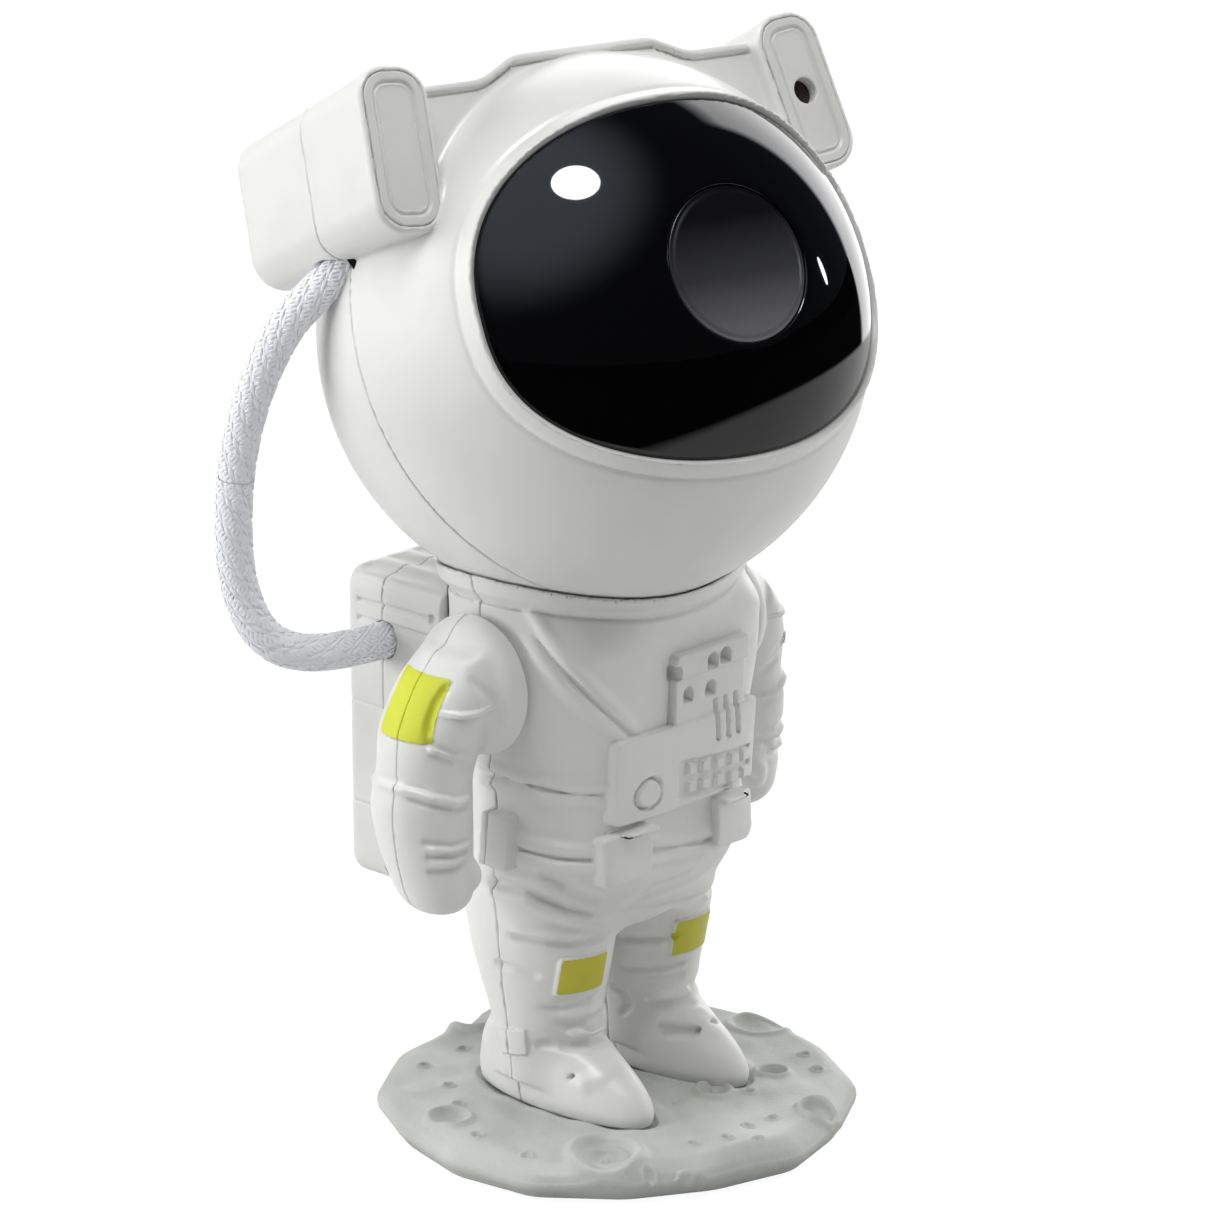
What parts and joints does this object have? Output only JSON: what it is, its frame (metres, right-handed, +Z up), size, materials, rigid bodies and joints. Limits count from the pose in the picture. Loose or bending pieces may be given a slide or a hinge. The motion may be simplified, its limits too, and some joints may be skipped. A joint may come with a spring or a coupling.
{
  "type": "planetarium projector",
  "caption": "Toy-like astronaut figure on a cratered base whose round helmet holds a light and laser star projector; the helmet turns and tilts, a hose joins helmet and backpack.",
  "frame": {"origin": "centre of the base's underside, on the surface it stands on", "axes": "+Z up, -Y the way the figure's body faces, +X to the figure's own left"},
  "size_m": [0.1282, 0.1143, 0.2281],
  "materials": {
    "white_plastic": "satin moulded shell",
    "moon_grey": "matt, cratered",
    "grey_panel": "satin inset panel",
    "black_gloss": "mirror-like dark visor",
    "dark_window": "smoked window",
    "clear_lens": "clear lens",
    "rippled_clear": "clear rippled disc",
    "black_plastic": "matt",
    "white_gear": "matt gear",
    "steel": "zinc-plated",
    "aluminium": "machined",
    "brass": "turned",
    "board_green": "solder-masked board",
    "led_yellow": "phosphor",
    "braid_white": "braided sleeve over a flexible tube",
    "foam_black": "foam",
    "button_white": "satin"
  },
  "bodies": {
    "figure": {"base_pad": "foam_black", "base_bottom_plate": "moon_grey", "moon_base": "moon_grey", "base_plate_screws": "steel", "leg_screws": "steel", "torso_front_shell": "white_plastic", "torso_rear_shell": "white_plastic", "torso_screws": "steel", "backpack_front": "white_plastic", "backpack_rear_cover": "white_plastic", "backpack_cover_screws": "steel", "backpack_screws": "steel", "control_board": "board_green", "control_board_screws": "steel", "tact_switches": "black_plastic", "power_socket": "steel", "hose_lower": "braid_white", "hose_lower_ferrule": "black_plastic"},
    "neck": {"neck_magnet": "steel"},
    "head": {"helmet_front_shell": "white_plastic", "helmet_rear_shell": "white_plastic", "visor": "black_gloss", "projection_window": "dark_window", "right_ear_cap": "grey_panel", "left_ear_cap": "grey_panel", "lens_barrel": "black_plastic", "projection_lens": "clear_lens", "optics_bracket": "black_plastic", "condenser_lens": "clear_lens", "led_board": "board_green", "led_emitter": "led_yellow", "heat_sink": "aluminium", "disc_motor": "steel", "laser_holder": "black_plastic", "laser_module": "brass", "laser_grating": "clear_lens", "driver_board": "board_green", "driver_board_screws": "steel", "steel_keeper": "steel", "helmet_screws": "steel", "bracket_screws": "steel", "lamp_screws": "steel", "hose_upper": "braid_white", "hose_upper_ferrule": "black_plastic"},
    "ripple_disc": {"ripple_disc": "rippled_clear"},
    "drive_pinion": {"drive_pinion": "white_gear"},
    "right_arm": {"right_arm_front_shell": "white_plastic", "right_arm_rear_shell": "white_plastic", "right_shoulder_axle": "black_plastic", "right_arm_screw": "steel"},
    "left_arm": {"left_arm_front_shell": "white_plastic", "left_arm_rear_shell": "white_plastic", "left_shoulder_axle": "black_plastic", "left_arm_screw": "steel"},
    "power_button": {"power_button": "button_white"},
    "nebula_button": {"nebula_button": "button_white"},
    "laser_button": {"laser_button": "button_white"}
  },
  "joints": [
    {"name": "neck_turn", "type": "hinge", "parent": "figure", "child": "neck", "pos_m": [0, 0.0062, 0.11], "axis": [0, 0, 1], "range_deg": [-30, 50], "deforming": ["hose_lower"]},
    {"name": "head_tilt", "type": "hinge", "parent": "neck", "child": "head", "pos_m": [0, 0.0062, 0.1686], "axis": [0.9781, -0.2079, 0], "range_deg": [-8, 33], "deforming": ["hose_upper"]},
    {"name": "ripple_disc_spin", "type": "hinge", "parent": "head", "child": "ripple_disc", "pos_m": [0, 0.0062, 0.1686], "axis": [-0.1877, -0.8829, 0.4305], "continuous": true},
    {"name": "drive_pinion_spin", "type": "hinge", "parent": "head", "child": "drive_pinion", "pos_m": [-0.00222, -0.00424, 0.14622], "axis": [-0.1877, -0.8829, 0.4305], "continuous": true},
    {"name": "right_shoulder", "type": "hinge", "parent": "figure", "child": "right_arm", "pos_m": [-0.0347, 0.0062, 0.102], "axis": [-1, 0, 0], "range_deg": [-40, 110]},
    {"name": "left_shoulder", "type": "hinge", "parent": "figure", "child": "left_arm", "pos_m": [0.0347, 0.0062, 0.102], "axis": [-1, 0, 0], "range_deg": [-40, 110]},
    {"name": "power_button_press", "type": "slide", "parent": "figure", "child": "power_button", "axis": [0, -1, 0], "range_m": [0, 0.0005], "stiffness_N_per_m": 600},
    {"name": "nebula_button_press", "type": "slide", "parent": "figure", "child": "nebula_button", "axis": [0, -1, 0], "range_m": [0, 0.0005], "stiffness_N_per_m": 600},
    {"name": "laser_button_press", "type": "slide", "parent": "figure", "child": "laser_button", "axis": [0, -1, 0], "range_m": [0, 0.0005], "stiffness_N_per_m": 600}
  ],
  "couplings": [
    {"joint": "drive_pinion_spin", "follows": "ripple_disc_spin", "ratio": -4.1667}
  ]
}
